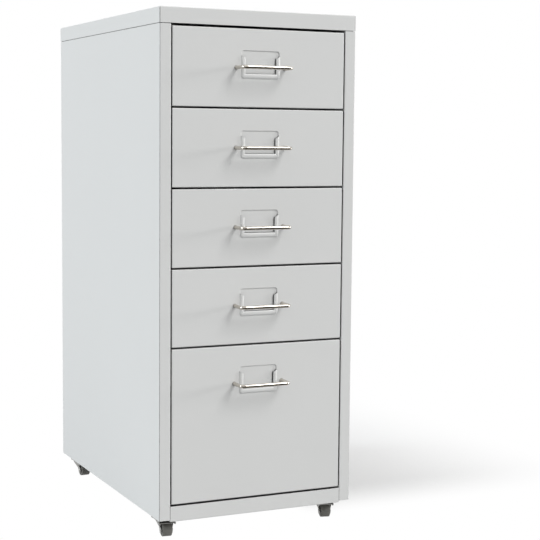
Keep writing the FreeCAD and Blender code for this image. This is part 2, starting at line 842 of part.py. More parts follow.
def castor_screws():
    length = size.castor_plate_thickness + size.castor_bar_thickness
    screw = (size.screw_diameter, size.screw_head, size.low_head_height, length)
    origins = [(across, depth, place.castor_plate_bottom) for across, depth in castor_screw_places()]
    screw_group("castor_screws", screw, origins, FreeCAD.Vector(0, 0, 1))


def handle_screws(name):
    screw = (size.handle_screw_diameter, size.handle_screw_head, size.handle_screw_head_height,
             size.sheet + size.handle_screw_engagement)
    height = drawer_floor(name) + handle_height(name)
    behind = place.front_face + size.sheet
    origins = [(size.handle_centres / 2 * side, behind, height) for side in SIDES.values()]
    screw_group(f"{name}_handle_screws", screw, origins, FreeCAD.Vector(0, -1, 0))


def build():
    top_cover()
    for side_name, side in SIDES.items():
        side_panel(f"{side_name}_side_panel", side)
    back_panel()
    base_panel()
    castor_bar("front_castor_bar", place.castor_front_y)
    castor_bar("rear_castor_bar", place.castor_rear_y)
    for name in DRAWER_NAMES:
        drawer_front(name)
        handle(name)
        handle_screws(name)
        drawer_tray(name)
        for side_name, side in SIDES.items():
            runner(name, side_name, side)
    for name, pivot in castor_pivots().items():
        castor_plate(name, pivot)
        kingpin(name, pivot)
        fork(name, pivot, CASTOR_TURNS[name])
        wheel(name, pivot, CASTOR_TURNS[name])
        axle(name, pivot, CASTOR_TURNS[name])
    carcass_screws()
    castor_screws()


def export():
    """Check every object, then write each sub-part to its own file."""
    doc.recompute()
    failed = [item.Label for item in doc.Objects if {"Invalid", "Error"} & set(item.State)]
    if failed:
        raise RuntimeError(f"objects failed: {failed}")
    for name, part in parts.items():
        if part.Shape.isNull() or not part.Shape.isValid():
            raise RuntimeError(f"{name} has no valid shape")
    os.makedirs("parts", exist_ok=True)
    for name, part in parts.items():
        part.Shape.exportStep(f"parts/{name}.step")
    print(f"wrote {len(parts)} parts")


build()
export()
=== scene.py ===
"""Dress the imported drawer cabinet: paint, plating, wire handles, screws, castors, studio and camera."""

import json
import logging
import math
from dataclasses import dataclass
from enum import Enum

import bmesh
import bpy
from mathutils import Euler, Matrix, Vector


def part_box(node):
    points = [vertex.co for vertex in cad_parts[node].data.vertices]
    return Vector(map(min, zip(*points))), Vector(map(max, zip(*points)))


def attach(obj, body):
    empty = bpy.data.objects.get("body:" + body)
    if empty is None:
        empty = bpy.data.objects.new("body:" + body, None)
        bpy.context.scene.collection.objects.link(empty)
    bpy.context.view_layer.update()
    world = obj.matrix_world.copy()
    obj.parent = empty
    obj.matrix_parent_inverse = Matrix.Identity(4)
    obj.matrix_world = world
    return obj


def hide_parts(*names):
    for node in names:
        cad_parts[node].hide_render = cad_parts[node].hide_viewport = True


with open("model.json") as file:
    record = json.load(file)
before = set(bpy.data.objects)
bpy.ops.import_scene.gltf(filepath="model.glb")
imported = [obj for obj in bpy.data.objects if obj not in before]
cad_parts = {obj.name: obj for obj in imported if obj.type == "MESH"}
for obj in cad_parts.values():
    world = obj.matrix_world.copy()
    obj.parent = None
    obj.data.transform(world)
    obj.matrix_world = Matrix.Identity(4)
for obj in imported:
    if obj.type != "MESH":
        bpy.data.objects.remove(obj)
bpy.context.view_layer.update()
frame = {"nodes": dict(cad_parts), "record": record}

MM = 0.001
CAD_WELD = 0.01 * MM
TOUCHING = 0.001 * MM
SHARP_TURN = math.radians(35)
DRAWERS = ("top_drawer", "second_drawer", "third_drawer", "fourth_drawer", "bottom_drawer")
CORNERS = ("front_left", "front_right", "rear_left", "rear_right")
LOG = logging.getLogger("cabinet")
Triple = tuple[float, float, float]
Pair = tuple[float, float]


class Slot(Enum):
    """The record's material slots."""

    PAINT = "cabinet_paint"
    NICKEL = "bright_nickel"
    ZINC = "zinc_plate"
    PLASTIC = "wheel_plastic"


class Tree:
    """A node tree with short calls for adding and joining its nodes."""

    def __init__(self, tree: bpy.types.NodeTree) -> None:
        """Keep the tree.

        Args:
            tree: The tree that nodes are added to.
        """
        self.tree = tree

    def add(self, kind: str, **settings: object) -> bpy.types.Node:
        """Add a node.

        Args:
            kind: The node's type name.
            settings: Properties set on it.

        Returns:
            The new node.
        """
        node = self.tree.nodes.new(kind)
        for name, value in settings.items():
            setattr(node, name, value)
        return node

    def join(self, source: bpy.types.NodeSocket, target: bpy.types.NodeSocket) -> None:
        """Link an output to an input."""
        self.tree.links.new(source, target)

    def math(self, operation: str, first: object, second: object = 0.0) -> bpy.types.NodeSocket:
        """Add a Math node.

        Args:
            operation: Its operation.
            first: A socket or number.
            second: A socket or number.

        Returns:
            Its output.
        """
        node = self.add("ShaderNodeMath", operation=operation)
        for socket, value in zip(node.inputs, (first, second)):
            if isinstance(value, bpy.types.NodeSocket):
                self.join(value, socket)
            else:
                socket.default_value = value
        return node.outputs[0]


def geometry_tree(name: str, inputs: dict[str, str]) -> tuple[Tree, bpy.types.Node, bpy.types.Node]:
    """Start a geometry node tree with a Geometry input and output.

    Args:
        name: The tree's name.
        inputs: Further inputs, each with its socket type.

    Returns:
        The tree, its entry node and its exit node.
    """
    group = bpy.data.node_groups.new(name, "GeometryNodeTree")
    face = group.interface
    face.new_socket("Geometry", in_out="INPUT", socket_type="NodeSocketGeometry")
    for label, kind in inputs.items():
        face.new_socket(label, in_out="INPUT", socket_type=kind)
    face.new_socket("Geometry", in_out="OUTPUT", socket_type="NodeSocketGeometry")
    tree = Tree(group)
    return tree, tree.add("NodeGroupInput"), tree.add("NodeGroupOutput")


def run_tree(piece: bpy.types.Object, tree: Tree, values: dict[str, object]) -> bpy.types.Modifier:
    """Put a geometry node tree on a piece, with its inputs set.

    Args:
        piece: The piece.
        tree: The tree.
        values: What each named input is set to.

    Returns:
        The live modifier.
    """
    modifier = piece.modifiers.new(tree.tree.name, "NODES")
    modifier.node_group = tree.tree
    for item in tree.tree.interface.items_tree:
        if item.in_out == "INPUT" and item.name in values:
            modifier[item.identifier] = values[item.name]
    return modifier


def plain_mesh(piece: bpy.types.Object) -> None:
    """Replace a piece's mesh by what its modifiers make of it, and take the modifiers away.

    Args:
        piece: The piece.
    """
    graph = bpy.context.evaluated_depsgraph_get()
    mesh = bpy.data.meshes.new_from_object(piece.evaluated_get(graph), depsgraph=graph)
    piece.modifiers.clear()
    piece.data = mesh


def new_piece(name: str, mesh: bpy.types.Mesh) -> bpy.types.Object:
    """Put a mesh into the scene under a name of its own.

    Args:
        name: The object's name.
        mesh: Its mesh, which holds its place too.

    Returns:
        The object.
    """
    piece = bpy.data.objects.new(name, mesh)
    bpy.context.scene.collection.objects.link(piece)
    return piece


def drawn_mesh(name: str, shape: bmesh.types.BMesh) -> bpy.types.Mesh:
    """Turn a drawn shape into a mesh, and free the shape.

    Args:
        name: The mesh's name.
        shape: The shape.

    Returns:
        The mesh.
    """
    mesh = bpy.data.meshes.new(name)
    shape.to_mesh(mesh)
    shape.free()
    return mesh


def points_mesh(name: str, points: list[Triple], joined: bool = False) -> bpy.types.Mesh:
    """Make a mesh of loose points, or of one open line through them.

    Args:
        name: The mesh's name.
        points: The points in order.
        joined: Whether an edge joins each point to the next.

    Returns:
        The mesh.
    """
    mesh = bpy.data.meshes.new(name)
    lines = [(index, index + 1) for index in range(len(points) - 1)] if joined else []
    mesh.from_pydata(points, lines, [])
    return mesh


def lathe(name: str, profile: list[Pair], steps: int) -> bpy.types.Mesh:
    """Turn a profile about the Z axis into a closed, smooth mesh.

    Args:
        name: The mesh's name.
        profile: Radius and height of each point, from one end to the other. A bore's profile is closed.
        steps: How many faces go round.

    Returns:
        The mesh.
    """
    shape = bmesh.new()
    turns = [math.tau * step / steps for step in range(steps)]
    rings = []
    for radius, height in profile:
        if radius == 0:
            rings.append([shape.verts.new((0, 0, height))] * steps)
        else:
            rings.append([shape.verts.new((radius * math.cos(turn), radius * math.sin(turn), height))
                          for turn in turns])
    for low, high in zip(rings, rings[1:]):
        for step in range(steps):
            following = (step + 1) % steps
            corners = dict.fromkeys((low[step], low[following], high[following], high[step]))
            if len(corners) > 2:
                shape.faces.new(list(corners))
    bmesh.ops.remove_doubles(shape, verts=shape.verts, dist=TOUCHING)
    bmesh.ops.recalc_face_normals(shape, faces=shape.faces)
    mesh = drawn_mesh(name, shape)
    mesh.shade_smooth()
    mesh.set_sharp_from_angle(angle=SHARP_TURN)
    return mesh


@dataclass(frozen=True)
class SurfaceEffect:
    """What all the finishes share: fine grain, soft blotches and painted shade in narrow crevices."""

    grain_detail: float = 2.0
    blotch_detail: float = 3.0
    # The painted shade: how far ambient occlusion looks, and where the darkening starts and where it is
    # full.
    crevice_shade_reach: float = 3.0 * MM
    crevice_shade_samples: int = 8
    crevice_shade_starts: float = 0.74
    crevice_shade_full: float = 0.5

    def group(self) -> bpy.types.NodeTree:
        """Build the effect as a node group.

        Returns:
            A group with inputs Grain Scale and Blotch Scale, and outputs Height, Blotch and Painted Shade.
        """
        group = bpy.data.node_groups.new("unevenness_and_painted_shade", "ShaderNodeTree")
        face = group.interface
        for name in ("Grain Scale", "Blotch Scale"):
            face.new_socket(name, in_out="INPUT", socket_type="NodeSocketFloat")
        for name in ("Height", "Blotch", "Crevice"):
            face.new_socket(name, in_out="OUTPUT", socket_type="NodeSocketFloat")
        tree = Tree(group)
        entry = tree.add("NodeGroupInput")
        leave = tree.add("NodeGroupOutput")
        place = tree.add("ShaderNodeTexCoord")
        for scale, detail, output in (("Grain Scale", self.grain_detail, "Height"),
                                      ("Blotch Scale", self.blotch_detail, "Blotch")):
            noise = tree.add("ShaderNodeTexNoise", noise_dimensions="3D")
            noise.inputs["Detail"].default_value = detail
            tree.join(place.outputs["Object"], noise.inputs["Vector"])
            tree.join(entry.outputs[scale], noise.inputs["Scale"])
            tree.join(noise.outputs["Fac"], leave.inputs[output])
        # Painted shade: ambient occlusion marks narrow crevices and seams, to darken the colour there.
        shade_occlusion = tree.add("ShaderNodeAmbientOcclusion", samples=self.crevice_shade_samples)
        shade_occlusion.inputs["Distance"].default_value = self.crevice_shade_reach
        depth = tree.add("ShaderNodeMapRange", interpolation_type="SMOOTHSTEP")
        depth.inputs["From Min"].default_value = self.crevice_shade_starts
        depth.inputs["From Max"].default_value = self.crevice_shade_full
        tree.join(shade_occlusion.outputs["AO"], depth.inputs["Value"])
        tree.join(depth.outputs["Result"], leave.inputs["Crevice"])
        return group


@dataclass(frozen=True)
class Finish:
    """A surface finish: its two colours, its gloss, its fine unevenness and its painted shade in crevices.
    """

    name: str
    colour: Triple
    shade: Triple
    metallic: float
    roughness: float
    roughness_spread: float
    grain_scale: float
    blotch_scale: float
    bump: float
    bump_height: float = 0.1 * MM
    # How far painted shade darkens the colour in crevices, and the dark colour it goes to.
    crevice_shade: float = 0.0
    crevice_shade_colour: Triple = (0.05, 0.05, 0.05)

    def material(self, effect: bpy.types.NodeTree) -> bpy.types.Material:
        """Build the finish as a procedural material.

        Args:
            effect: The shared group that gives height, blotches and painted shade in crevices.

        Returns:
            The material.
        """
        material = bpy.data.materials.new(self.name)
        material.use_nodes = True
        tree = Tree(material.node_tree)
        shader = material.node_tree.nodes["Principled BSDF"]
        shader.inputs["Metallic"].default_value = self.metallic
        unevenness_and_shade = tree.add("ShaderNodeGroup", node_tree=effect)
        unevenness_and_shade.inputs["Grain Scale"].default_value = self.grain_scale
        unevenness_and_shade.inputs["Blotch Scale"].default_value = self.blotch_scale
        colour = tree.add("ShaderNodeMix", data_type="RGBA")
        colour.inputs["A"].default_value = (*self.colour, 1.0)
        colour.inputs["B"].default_value = (*self.shade, 1.0)
        tree.join(unevenness_and_shade.outputs["Blotch"], colour.inputs["Factor"])
        # Painted shade: the colour goes towards a near-black where ambient occlusion finds a narrow gap.
        shaded_colour = tree.add("ShaderNodeMix", data_type="RGBA")
        shaded_colour.inputs["B"].default_value = (*self.crevice_shade_colour, 1.0)
        tree.join(colour.outputs["Result"], shaded_colour.inputs["A"])
        tree.join(tree.math("MULTIPLY", unevenness_and_shade.outputs["Crevice"], self.crevice_shade), shaded_colour.inputs["Factor"])
        tree.join(shaded_colour.outputs["Result"], shader.inputs["Base Color"])
        spread = tree.math("MULTIPLY", unevenness_and_shade.outputs["Blotch"], self.roughness_spread)
        tree.join(tree.math("ADD", spread, self.roughness), shader.inputs["Roughness"])
        bump = tree.add("ShaderNodeBump")
        bump.inputs["Strength"].default_value = self.bump
        bump.inputs["Distance"].default_value = self.bump_height
        tree.join(unevenness_and_shade.outputs["Height"], bump.inputs["Height"])
        tree.join(bump.outputs["Normal"], shader.inputs["Normal"])
        return material


POWDER_COAT = Finish(
    "light_grey_powder_coat", colour=(0.66, 0.665, 0.66), shade=(0.69, 0.695, 0.69), metallic=0.0,
    roughness=0.36, roughness_spread=0.08, grain_scale=900.0, blotch_scale=6.0, bump=0.06, crevice_shade=0.95)
BRIGHT_NICKEL = Finish(
    "bright_nickel_plate", colour=(0.66, 0.62, 0.56), shade=(0.56, 0.525, 0.47), metallic=1.0,
    roughness=0.14, roughness_spread=0.12, grain_scale=1800.0, blotch_scale=90.0, bump=0.05)
ZINC_PLATE = Finish(
    "dull_zinc_plate", colour=(0.4, 0.395, 0.38), shade=(0.31, 0.305, 0.295), metallic=1.0,
    roughness=0.4, roughness_spread=0.2, grain_scale=1200.0, blotch_scale=160.0, bump=0.1)
WHEEL_PLASTIC = Finish(
    "dark_wheel_plastic", colour=(0.14, 0.137, 0.125), shade=(0.19, 0.186, 0.17), metallic=0.0,
    roughness=0.5, roughness_spread=0.15, grain_scale=1500.0, blotch_scale=120.0, bump=0.1)


class Finishes:
    """The materials, one for each slot."""

    def __init__(self) -> None:
        """Build every material once."""
        effect = SurfaceEffect().group()
        self.materials = {
            Slot.PAINT: POWDER_COAT.material(effect),
            Slot.NICKEL: BRIGHT_NICKEL.material(effect),
            Slot.ZINC: ZINC_PLATE.material(effect),
            Slot.PLASTIC: WHEEL_PLASTIC.material(effect),
        }

    def dress(self, piece: bpy.types.Object, slot: Slot) -> None:
        """Give a piece its only material."""
        piece.data.materials.clear()
        piece.data.materials.append(self.materials[slot])


@dataclass
class FoldedSheet:
    """CAD pieces that keep their shape, with edges broken, the open fold rounded and corners slit."""

    flat_angle: float = math.radians(0.5)
    sharp_angle: float = math.radians(32)
    fold_round: float = 1.0 * MM
    cut_edge_share: float = 0.33
    edge_steps: int = 3
    fold_reach: float = 0.3 * MM
    seam_width: float = 0.85 * MM
    seam_depth: float = 1.05 * MM
    line_width: float = 0.5 * MM
    line_depth: float = 0.9 * MM
    corner_turn: float = math.radians(45)
    seam_mark: str = "seam_edge"
    nowhere: Triple = (-1.0, -1.0, -1.0)

    def __post_init__(self) -> None:
        """Build the trees that every piece shares."""
        self.welding = self.weld_tree()
        self.seaming = self.seam_tree()
        self.weighting = self.weight_tree()

    def weld_tree(self) -> Tree:
        """Build the tree that welds the facets and smooths their faces.

        Returns:
            The tree, with input Distance.
        """
        tree, entry, leave = geometry_tree("weld_facets", {"Distance": "NodeSocketFloat"})
        weld = tree.add("GeometryNodeMergeByDistance")
        smooth = tree.add("GeometryNodeSetShadeSmooth", domain="FACE")
        tree.join(entry.outputs["Geometry"], weld.inputs["Geometry"])
        tree.join(entry.outputs["Distance"], weld.inputs["Distance"])
        tree.join(weld.outputs["Geometry"], smooth.inputs["Geometry"])
        tree.join(smooth.outputs["Geometry"], leave.inputs["Geometry"])
        return tree

    def seam_tree(self) -> Tree:
        """Build the tree that leaves a fine upright slit at a corner, and marks the slit's edges.

        Returns:
            The tree, with inputs Corner, Turn, Slit and Material.
        """
        tree, entry, leave = geometry_tree("corner_seam", {
            "Corner": "NodeSocketVector", "Turn": "NodeSocketRotation", "Slit": "NodeSocketVector",
            "Material": "NodeSocketMaterial"})
        block = tree.add("GeometryNodeMeshCube")
        place = tree.add("GeometryNodeTransform")
        cut = tree.add("GeometryNodeMeshBoolean", solver="EXACT", operation="DIFFERENCE")
        finish = tree.add("GeometryNodeSetMaterial")
        tree.join(entry.outputs["Slit"], block.inputs["Size"])
        tree.join(block.outputs["Mesh"], place.inputs["Geometry"])
        tree.join(entry.outputs["Corner"], place.inputs["Translation"])
        tree.join(entry.outputs["Turn"], place.inputs["Rotation"])
        tree.join(entry.outputs["Geometry"], cut.inputs["Mesh 1"])
        tree.join(place.outputs["Geometry"], cut.inputs["Mesh 2"])
        mark = tree.add("GeometryNodeStoreNamedAttribute", data_type="FLOAT", domain="EDGE")
        mark.inputs["Name"].default_value = self.seam_mark
        mark.inputs["Value"].default_value = 1.0
        tree.join(cut.outputs["Mesh"], mark.inputs["Geometry"])
        tree.join(cut.outputs["Intersecting Edges"], mark.inputs["Selection"])
        tree.join(mark.outputs["Geometry"], finish.inputs["Geometry"])
        tree.join(entry.outputs["Material"], finish.inputs["Material"])
        tree.join(finish.outputs["Geometry"], leave.inputs["Geometry"])
        return tree

    def weight_tree(self) -> Tree:
        """Build the tree that tells the bevel how far to round each edge.

        Returns:
            The tree, with inputs Fold Middle, Fold Reach, Sharp Angle and Cut Edge Share.
        """
        tree, entry, leave = geometry_tree("round_edges", {
            "Fold Middle": "NodeSocketVector", "Fold Reach": "NodeSocketVector",
            "Sharp Angle": "NodeSocketFloat", "Cut Edge Share": "NodeSocketFloat"})
        angle = tree.add("GeometryNodeInputMeshEdgeAngle")
        place = tree.add("GeometryNodeInputPosition")
        away = tree.add("ShaderNodeVectorMath", operation="SUBTRACT")
        size = tree.add("ShaderNodeVectorMath", operation="ABSOLUTE")
        spare = tree.add("ShaderNodeVectorMath", operation="SUBTRACT")
        split = tree.add("ShaderNodeSeparateXYZ")
        keep = tree.add("GeometryNodeStoreNamedAttribute", data_type="FLOAT", domain="EDGE")
        keep.inputs["Name"].default_value = "bevel_weight_edge"
        tree.join(place.outputs["Position"], away.inputs[0])
        tree.join(entry.outputs["Fold Middle"], away.inputs[1])
        tree.join(away.outputs["Vector"], size.inputs[0])
        tree.join(entry.outputs["Fold Reach"], spare.inputs[0])
        tree.join(size.outputs["Vector"], spare.inputs[1])
        tree.join(spare.outputs["Vector"], split.inputs["Vector"])
        least = tree.math("MINIMUM", split.outputs["X"], split.outputs["Y"])
        inside = tree.math("GREATER_THAN", tree.math("MINIMUM", least, split.outputs["Z"]), 0.0)
        weight = tree.math("MAXIMUM", inside, entry.outputs["Cut Edge Share"])
        sharp = tree.math("GREATER_THAN", angle.outputs["Unsigned Angle"], entry.outputs["Sharp Angle"])
        seam = tree.add("GeometryNodeInputNamedAttribute", data_type="FLOAT")
        seam.inputs["Name"].default_value = self.seam_mark
        rounded = tree.math("MULTIPLY", sharp, tree.math("SUBTRACT", 1.0, seam.outputs["Attribute"]))
        tree.join(tree.math("MULTIPLY", weight, rounded), keep.inputs["Value"])
        tree.join(entry.outputs["Geometry"], keep.inputs["Geometry"])
        tree.join(keep.outputs["Geometry"], leave.inputs["Geometry"])
        return tree

    def fold(self, name: str) -> tuple[Vector, Vector]:
        """Find the open fold that a piece shows, which is the upper edge of the rail under the drawers.

        Args:
            name: The CAD node.

        Returns:
            The middle of the fold and how far it reaches each way, which is nowhere if there is none.
        """
        low, high = (Vector(corner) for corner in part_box(name))
        middle, half = (low + high) / 2, (high - low) / 2
        if name == "base_panel":
            return Vector((middle.x, low.y, high.z)), Vector((half.x, self.fold_reach, self.fold_reach))
        return middle, Vector(self.nowhere)

    def seams(self, name: str) -> list[tuple[Vector, Vector]]:
        """Find the upright lines at a piece's front corners: open joints on the lid, fine lines below it.

        Args:
            name: The CAD node.

        Returns:
            The foot of each line, and the size of the block that is taken away round it.
        """
        low, high = (Vector(corner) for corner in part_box(name))
        if name == "top_cover":
            slit = Vector((self.seam_width, 2 * self.seam_depth, 2 * (high.z - low.z - self.seam_depth)))
            return [(Vector((outer, low.y, low.z)), slit) for outer in (low.x, high.x)]
        if name.endswith("_side_panel"):
            slit = Vector((self.line_width, 2 * self.line_depth, 2 * (high.z - low.z)))
            return [(Vector((max(low.x, high.x, key=abs), low.y, low.z)), slit)]
        return []

    def smooth(self, name: str, piece: bpy.types.Object) -> None:
        """Add the live modifiers to a CAD piece.

        Args:
            name: The CAD node.
            piece: Its object, which has its material already.
        """
        normals = piece.data.attributes.get("custom_normal")
        if normals:
            piece.data.attributes.remove(normals)
        run_tree(piece, self.welding, {"Distance": CAD_WELD})
        flat = piece.modifiers.new("flat_faces", "DECIMATE")
        flat.decimate_type = "DISSOLVE"
        flat.angle_limit = self.flat_angle
        for foot, slit in self.seams(name):
            turn = Euler((0.0, 0.0, math.copysign(self.corner_turn, foot.x)))
            run_tree(piece, self.seaming, {"Corner": foot, "Turn": turn, "Slit": slit,
                                           "Material": piece.data.materials[0]})
        middle, reach = self.fold(name)
        run_tree(piece, self.weighting, {"Fold Middle": middle, "Fold Reach": reach,
                                         "Sharp Angle": self.sharp_angle,
                                         "Cut Edge Share": self.cut_edge_share})
        broken = piece.modifiers.new("rounded_edges", "BEVEL")
        broken.limit_method = "WEIGHT"
        broken.width = self.fold_round
        broken.segments = self.edge_steps
        broken.use_clamp_overlap = True
        weighted = piece.modifiers.new("even_shading", "WEIGHTED_NORMAL")
        weighted.keep_sharp = True


@dataclass
class PressedFronts:
    """Drawer fronts as one folded sheet: pan, pressed card holder and the raised lip round it."""

    sheet: float = 0.8 * MM
    edge_round: float = 1.3 * MM
    pan_corner: float = 1.3 * MM
    flange: float = 14.0 * MM
    half_width: float = 27.5 * MM
    height: float = 36.7 * MM
    drop: float = 27.5 * MM
    recess: float = 1.35 * MM
    slope: float = 1.4 * MM
    mouth_round: float = 3.9 * MM
    lip_width: float = 5.7 * MM
    lip_foot: float = 6.4 * MM
    lip_rise: float = 2.0 * MM
    lip_drop: float = 7.2 * MM
    lip_slant: float = 3.0 * MM
    lip_corner: float = 3.6 * MM
    lip_overlap: float = 1.5 * MM
    slit: float = 0.4 * MM
    least_round: float = 0.05 * MM
    corner_steps: int = 8
    fold_steps: int = 5
    slope_shares: tuple[Pair, ...] = (
        (0.0, 0.0), (0.14, 0.02), (0.27, 0.09), (0.38, 0.24), (0.5, 0.5), (0.62, 0.76), (0.73, 0.91),
        (0.86, 0.98), (1.0, 1.0))
    lip_shares: tuple[Pair, ...] = (
        (-0.09, -0.06), (-0.04, 0.03), (0.01, 0.14), (0.05, 0.32), (0.1, 0.52), (0.16, 0.7), (0.25, 0.86),
        (0.37, 0.97), (0.5, 1.0), (0.64, 0.98), (0.77, 0.9), (0.88, 0.76), (0.96, 0.58), (1.0, 0.44))

    def ring(self, half: float, low: float, high: float, rounds: Triple, depth: float,
             stop: float) -> list[Triple]:
        """Draw a rounded rectangle, anticlockwise as seen from the front, from its lower left corner.

        Args:
            half: Half of its width.
            low: Height of its lower edge.
            high: Height of its upper edge.
            rounds: Radius of the upper corners, then the lower corners' radius across and up.
            depth: Its place along Y.
            stop: Height of one more point on each upright edge.

        Returns:
            Its points.
        """
        top_round, across, up = (max(radius, self.least_round) for radius in rounds)
        corners = [(-1, low + up, across, up, 2),
                   (1, low + up, across, up, 3),
                   (1, high - top_round, top_round, top_round, 0),
                   (-1, high - top_round, top_round, top_round, 1)]
        points = []
        for side, level, wide, tall, quarter in corners:
            for step in range(self.corner_steps + 1):
                turn = (quarter + step / self.corner_steps) * math.pi / 2
                points.append((side * (half - wide) + wide * math.cos(turn), depth,
                               level + tall * math.sin(turn)))
            if quarter in (1, 3):  # an upright edge follows these corners
                points.append((side * half, depth, stop))
        return points

    def skin(self, shape: bmesh.types.BMesh, rows: list[list[Triple]],
             closed: bool) -> list[bmesh.types.BMVert]:
        """Lay faces between rows of points.

        Args:
            shape: The mesh being made.
            rows: The rows, from the outside inwards.
            closed: Whether each row goes all the way round.

        Returns:
            The last row's vertices.
        """
        grid = [[shape.verts.new(point) for point in row] for row in rows]
        for outer, inner in zip(grid, grid[1:]):
            for index in range(len(outer) if closed else len(outer) - 1):
                after = (index + 1) % len(outer)
                shape.faces.new((outer[index], outer[after], inner[after], inner[index]))
        return grid[-1]

    def surface(self, node: str) -> bmesh.types.BMesh:
        """Draw the outer surface of one drawer's front.

        Args:
            node: The CAD front that gives its place and size.

        Returns:
            The open surface, its faces pointing outwards.
        """
        (left, crest, low), (right, rear, high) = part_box(node)
        face, half = crest + self.lip_rise, (right - left) / 2
        top = high - self.drop
        foot, lip_top = top - self.height, top - self.lip_drop
        stop = lip_top - self.lip_overlap
        arc = [math.pi / 2 * step / self.fold_steps for step in range(self.fold_steps + 1)]
        folds = [(self.flange, rear)]
        folds += [(self.sheet * (1 - math.sin(turn)), rear - self.sheet * (1 - math.cos(turn)))
                  for turn in arc]
        folds += [(self.edge_round * (1 - math.cos(turn)), face + self.edge_round * (1 - math.sin(turn)))
                  for turn in arc]
        pan = [self.ring(half - inset, low + inset, high - inset, (self.pan_corner - inset,) * 3, depth,
                         stop) for inset, depth in folds]
        holder = [self.ring(self.half_width - self.slope * inset, foot, top - self.slope * inset,
                            (self.mouth_round - self.slope * inset, self.lip_corner, self.lip_corner),
                            face + self.recess * depth, stop) for inset, depth in self.slope_shares]
        shape = bmesh.new()
        self.skin(shape, pan + holder[:1], closed=True)
        count = 2 * self.corner_steps + 2
        brink = self.skin(shape, [row[count:] for row in holder], closed=False)
        window, floor = self.half_width - self.lip_width - self.slit, face + self.recess
        fall, window_foot = lip_top - self.lip_slant, foot + self.lip_foot + self.slit
        tongue = [(-window, floor, fall), (-window, floor, window_foot), (window, floor, window_foot),
                  (window, floor, fall)]
        shape.faces.new(brink + [shape.verts.new(point) for point in tongue])
        lip = []
        for inset, rise in self.lip_shares:
            corner = (self.lip_corner - self.lip_width * inset, self.lip_corner - self.lip_foot * inset)
            row = self.ring(self.half_width - self.lip_width * inset, foot + self.lip_foot * inset, top,
                            (self.lip_corner, *corner), face - self.lip_rise * rise,
                            lip_top - self.lip_slant * inset)
            lip.append(row[-1:] + row[:count + 1])
        self.skin(shape, lip, closed=False)
        bmesh.ops.remove_doubles(shape, verts=shape.verts, dist=TOUCHING)
        broad = max(shape.faces, key=lambda polygon: polygon.calc_area())
        broad.normal_update()
        if broad.normal.y > 0:
            bmesh.ops.reverse_faces(shape, faces=shape.faces)
        return shape

    def build(self, finishes: Finishes) -> None:
        """Make each drawer's front, with the sheet's thickness and even shading as live modifiers.

        Args:
            finishes: The materials.
        """
        for drawer in DRAWERS:
            node = f"{drawer}_front"
            mesh = drawn_mesh(node, self.surface(node))
            mesh.shade_smooth()
            mesh.set_sharp_from_angle(angle=SHARP_TURN)
            piece = new_piece(f"{node}_pressing", mesh)
            finishes.dress(piece, Slot.PAINT)
            wall = piece.modifiers.new("sheet_thickness", "SOLIDIFY")
            wall.thickness = self.sheet
            wall.offset = -1.0
            wall.use_even_offset = True
            shading = piece.modifiers.new("even_shading", "WEIGHTED_NORMAL")
            shading.keep_sharp = True
            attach(piece, drawer)
            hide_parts(node)
            LOG.info("pressed %s", node)


@dataclass
class WireHandles:
    """The five bent wire handles, drawn along their own centre lines."""

    rod: float = 5.0 * MM
    bend: float = 5.5 * MM
    bend_steps: int = 8
    round_steps: int = 28

    def tree(self) -> Tree:
        """Build the tree that bends a line and gives it the rod's thickness.

        Returns:
            The tree, with inputs Rod Radius, Bend Radius and Material.
        """
        tree, entry, leave = geometry_tree("bent_wire", {
            "Rod Radius": "NodeSocketFloat", "Bend Radius": "NodeSocketFloat",
            "Material": "NodeSocketMaterial"})
        curve = tree.add("GeometryNodeMeshToCurve")
        fillet = tree.add("GeometryNodeFilletCurve", mode="POLY")
        fillet.inputs["Count"].default_value = self.bend_steps
        section = tree.add("GeometryNodeCurvePrimitiveCircle")
        section.inputs["Resolution"].default_value = self.round_steps
        sweep = tree.add("GeometryNodeCurveToMesh")
        sweep.inputs["Fill Caps"].default_value = True
        whole = tree.add("GeometryNodeRealizeInstances")
        finish = tree.add("GeometryNodeSetMaterial")
        tree.join(entry.outputs["Geometry"], curve.inputs["Mesh"])
        tree.join(curve.outputs["Curve"], fillet.inputs["Curve"])
        tree.join(entry.outputs["Bend Radius"], fillet.inputs["Radius"])
        tree.join(entry.outputs["Rod Radius"], section.inputs["Radius"])
        tree.join(fillet.outputs["Curve"], sweep.inputs["Curve"])
        tree.join(section.outputs["Curve"], sweep.inputs["Profile Curve"])
        tree.join(sweep.outputs["Mesh"], whole.inputs["Geometry"])
        tree.join(whole.outputs["Geometry"], finish.inputs["Geometry"])
        tree.join(entry.outputs["Material"], finish.inputs["Material"])
        tree.join(finish.outputs["Geometry"], leave.inputs["Geometry"])
        return tree

    def build(self, finishes: Finishes) -> None:
        """Make each drawer's handle where its CAD node is.

        Args:
            finishes: The materials.
        """
        tree = self.tree()
        for drawer in DRAWERS:
            node = f"{drawer}_handle"
            (left, bar, low), (right, face, high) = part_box(node)
            radius = self.rod / 2
            level = (low + high) / 2
            line = [(left + radius, face, level), (left + radius, bar + radius, level),
                    (right - radius, bar + radius, level), (right - radius, face, level)]
            piece = new_piece(f"{node}_wire", points_mesh(node, line, joined=True))
            run_tree(piece, tree, {"Rod Radius": radius, "Bend Radius": self.bend,
                                   "Material": finishes.materials[Slot.NICKEL]})
            plain_mesh(piece)
            piece.data.shade_smooth()
            piece.data.set_sharp_from_angle(angle=SHARP_TURN)
            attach(piece, drawer)
            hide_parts(node)
            LOG.info("bent %s", node)


@dataclass(frozen=True)
class ScrewSize:
    """One kind of cross-head screw."""

    head: float
    head_height: float
    shank: float
    length: float


